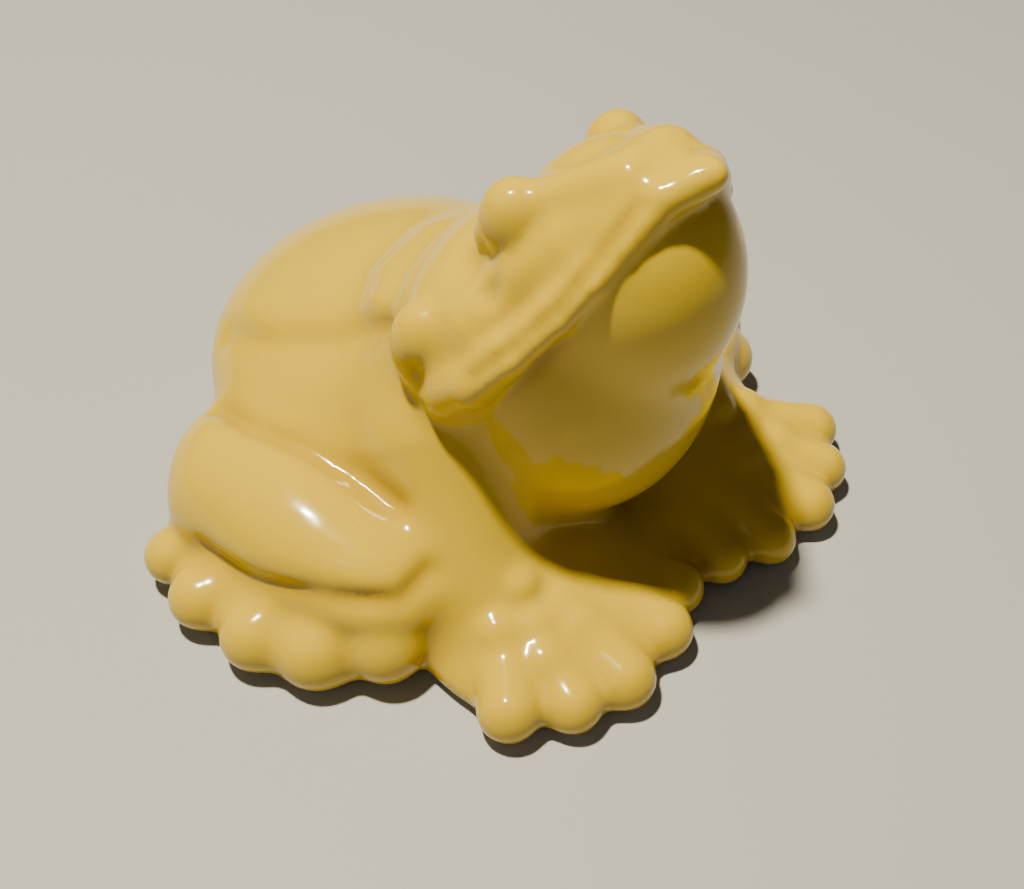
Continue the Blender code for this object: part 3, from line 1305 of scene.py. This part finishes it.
@dataclass
class VentBung(SmallPart):
    """The soft rubber bung: a dished flange, a waist and a bead that snaps past the slab.

    Attributes:
        flange: Thickness of its flange.
        soft: Rounding of the flange's edge.
        flat_rim: Width of the flat round the dish.
        dish: Depth of the hollow in its face.
        dish_slope: How steeply the hollow falls to its full depth.
        stem: Radius of its stem.
        waist: How much thinner the stem is inside the slab.
        tip_inset: How much narrower the flat end of the stem is.
        tip_round: Rounding of that end.
        swell: How far the bead stands out over the rounded end.
        bead: Length of the bead.
        neck: Height over the flange where the stem is at its thinnest.
        fillet: Rounding between the stem and the flange.
        bend: Points in each rounding.
    """

    node: str = BUNG_NODE
    body: str = BUNG_BODY
    slot: str = "bung_rubber"
    flange: float = 1.3 * MM
    soft: float = 0.5 * MM
    flat_rim: float = 1.6 * MM
    dish: float = 0.45 * MM
    dish_slope: float = 2.2
    stem: float = 4.7 * MM
    waist: float = 0.35 * MM
    tip_inset: float = 0.9 * MM
    tip_round: float = 0.6 * MM
    swell: float = 0.3 * MM
    bead: float = 1.4 * MM
    neck: float = 1.4 * MM
    fillet: float = 0.5 * MM
    bend: int = 7

    def swelling(self, top: float) -> np.ndarray:
        """The bead: its swell eases out by a sine, then the waist draws in by a square.

        Args:
            top: Height of the stem's end.

        Returns:
            Profile points.
        """
        along = np.linspace(0, 1, 9)[1:]
        eased = self.swell * (1 - np.sin(math.pi * along / 2))
        drawn = self.waist * np.maximum(0, 2 * along - 1) ** 2
        return np.stack((self.stem - eased - drawn, top - self.tip_round - self.bead * along), -1)

    def hollow(self, rim: float, bottom: float) -> np.ndarray:
        """The dish: half of one minus the cosine of the way in, times its depth.

        Args:
            rim: Radius of the flange.
            bottom: Height of its face.

        Returns:
            Profile points.
        """
        share = np.linspace(0, 1, 14)[1:-1]
        depth = 0.5 - 0.5 * np.cos(math.pi * np.minimum(1.0, self.dish_slope * share))
        return np.stack(((rim - self.flat_rim) * (1 - share), bottom + self.dish * depth), -1)

    def build(self, material: bpy.types.Material) -> bpy.types.Object:
        """Turns its profile from the top of the stem down to the dished face.

        Args:
            material: Its finish.

        Returns:
            The piece.
        """
        centre, half, bottom, top = self.place()
        rim, shoulder = half[0], bottom + self.flange
        tip, thin = self.stem - self.tip_inset, self.stem - self.waist
        profile = (
            level_run(tip, top, (0.2, 0.5, 0.8)),
            upper_round(tip + self.tip_round, top, self.tip_round, self.bend),
            self.swelling(top),
            level_run(thin, shoulder + self.neck, (1.0,)),
            level_run(thin, shoulder + self.fillet, (1.0,)),
            lower_round(thin, shoulder, -self.fillet, self.bend),
            upper_round(rim, shoulder, self.soft, self.bend),
            lower_round(rim, bottom, self.soft, self.bend),
            self.hollow(rim, bottom),
        )
        return self.finished(self.turned(np.concatenate(profile), centre), material, ring=False)


@dataclass
class FeltPad(SmallPart):
    """A punched disc of felt whose cut edge has frayed a little.

    Attributes:
        soft: Rounding of its edges.
        fray: How far the cut edge wanders.
        waves: Waves of the wander round the pad.
        shift: Radians that the waves turn for each millimetre of the pad's place.
        shares: Where its rings lie between the middle and the rim.
        bend: Points in each rounding.
    """

    body: str = FIGURE_BODY
    slot: str = "felt"
    soft: float = 0.25 * MM
    fray: float = 0.09 * MM
    waves: tuple[int, ...] = (7, 17, 29)
    shift: float = 40.0
    shares: tuple[float, ...] = (0.25, 0.5, 0.75, 0.9)
    bend: int = 5

    def build(self, material: bpy.types.Material) -> bpy.types.Object:
        """Turns the disc, then moves each point out by the cube of its share of the radius times
        a sum of sines of its angle.

        Args:
            material: Its finish.

        Returns:
            The piece.
        """
        centre, half, bottom, top = self.place()
        rim = half[0] - self.fray
        profile = (
            level_run(rim, top, self.shares),
            upper_round(rim, top, self.soft, self.bend),
            lower_round(rim, bottom, self.soft, self.bend),
            level_run(rim, bottom, self.shares[::-1]),
        )
        loops = self.turned(np.concatenate(profile), centre)
        phase = self.shift * centre.sum() / MM
        turn = self.turn()
        wander = sum(np.sin(turn * wave + i * phase) for i, wave in enumerate(self.waves, 1))
        outward = (loops[..., :2] - centre) / half
        loops[..., :2] += outward**3 * (self.fray / len(self.waves)) * wander[None, :, None]
        return self.finished(loops, material, ring=False)


@dataclass(frozen=True)
class Lamp:
    """A round soft lamp aimed at the figure.

    Attributes:
        name: Its name.
        place: Where it hangs, in metres.
        size: Its width, in metres.
        watts: Its power.
        tint: Its colour.
    """

    name: str
    place: Point
    size: float
    watts: float
    tint: Point

    def build(self, aim: Point) -> bpy.types.Object:
        """Hangs the lamp.

        Args:
            aim: Where it points, in metres.

        Returns:
            The lamp.
        """
        light = bpy.data.lights.new(self.name, "AREA")
        light.shape = "DISK"
        light.size = self.size
        light.energy = self.watts
        light.color = self.tint
        lamp = bpy.data.objects.new(self.name, light)
        lamp.location = self.place
        lamp.rotation_euler = (Vector(aim) - Vector(self.place)).to_track_quat("-Z", "Y").to_euler()
        bpy.context.scene.collection.objects.link(lamp)
        return lamp


@dataclass
class Studio:
    """A pale floor, a warm key light from above and behind, two small lamps and the camera.

    Attributes:
        eye: Where the camera stands, in metres.
        azimuth: Degrees it looks to the right of +Y.
        pitch: Degrees it looks down.
        lens: Focal length on the sensor, in millimetres.
        sensor: Width of the sensor, in millimetres.
        aim: Where the lamps point, in metres.
        reach: Half the width of the floor, in metres.
        cool: The floor's darker colour.
        pale: Its lighter colour.
        clouds: How the floor's two colours wander.
        glow: Colour of the sky.
        dimness: Strength of the sky.
        lamps: The key light and two small lamps that give sparks on the glaze.
    """

    eye: Point = (-0.10904, -0.10037, 0.15148)
    azimuth: float = 48.66
    pitch: float = 44.883
    lens: float = 47.46
    sensor: float = 36.0
    aim: Point = (0, -0.005, 0.03)
    reach: float = 3.0
    cool: Colour = (0.37, 0.38, 0.40, 1.0)
    pale: Colour = (0.40, 0.41, 0.43, 1.0)
    clouds: Grain = Grain(6.0, 3.0)
    glow: Colour = (1.0, 0.96, 0.9, 1.0)
    dimness: float = 0.08
    lamps: tuple[Lamp, ...] = (
        Lamp("key", (-0.1, 0.14, 0.79), 0.06, 15.5, (1.0, 0.87, 0.62)),
        Lamp("spark_left", (-0.42, -0.1, 0.7), 0.011, 0.05, (1.0, 0.96, 0.9)),
        Lamp("spark_right", (-0.32, -0.16, 0.7), 0.008, 0.025, (1.0, 0.96, 0.9)),
    )

    def floor(self) -> bpy.types.Object:
        """The pale floor, level with the table under the pads.

        Returns:
            The floor.
        """
        edges = ((-1, -1, 0), (1, -1, 0), (1, 1, 0), (-1, 1, 0))
        piece = make_piece("floor", self.reach * np.array(edges), [(0, 1, 2, 3)], smooth=False)
        finish = Finish("pale_floor")
        finish.set(
            base_color=finish.mix(finish.noise(self.clouds), self.cool, self.pale),
            roughness=0.6,
        )
        piece.data.materials.append(finish.material)
        return piece

    def camera(self) -> None:
        """Stands the camera at the eye, without roll."""
        data = bpy.data.cameras.new("camera")
        data.lens = self.lens
        data.sensor_width = self.sensor
        data.clip_start = 0.005
        data.clip_end = 20.0
        camera = bpy.data.objects.new("camera", data)
        camera.location = self.eye
        camera.rotation_euler = (math.radians(90 - self.pitch), 0, -math.radians(self.azimuth))
        bpy.context.scene.collection.objects.link(camera)
        bpy.context.scene.camera = camera

    def sky(self) -> None:
        """Spreads a dim even sky."""
        world = bpy.data.worlds.new("sky")
        world.use_nodes = True
        background = world.node_tree.nodes["Background"]
        background.inputs["Color"].default_value = self.glow
        background.inputs["Strength"].default_value = self.dimness
        bpy.context.scene.world = world

    def build(self) -> None:
        """Sets up the floor, the lamps, the sky and the camera."""
        made = [self.floor()]
        made += [lamp.build(self.aim) for lamp in self.lamps]
        self.sky()
        self.camera()


def main() -> None:
    """Builds every sub-assembly in the shared frame, then the studio round it."""
    logging.basicConfig(level=logging.INFO, format="%(name)s: %(message)s")
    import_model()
    GlazedSkin(ClayForm()).build()
    BaseSlab().build(ClayFinish().build())
    VentBung().build(RubberFinish().build())
    felt = FeltFinish().build()
    for pad in PAD_NODES:
        FeltPad(pad).build(felt)
    Studio().build()
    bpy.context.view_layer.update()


if __name__ == "__main__":
    main()
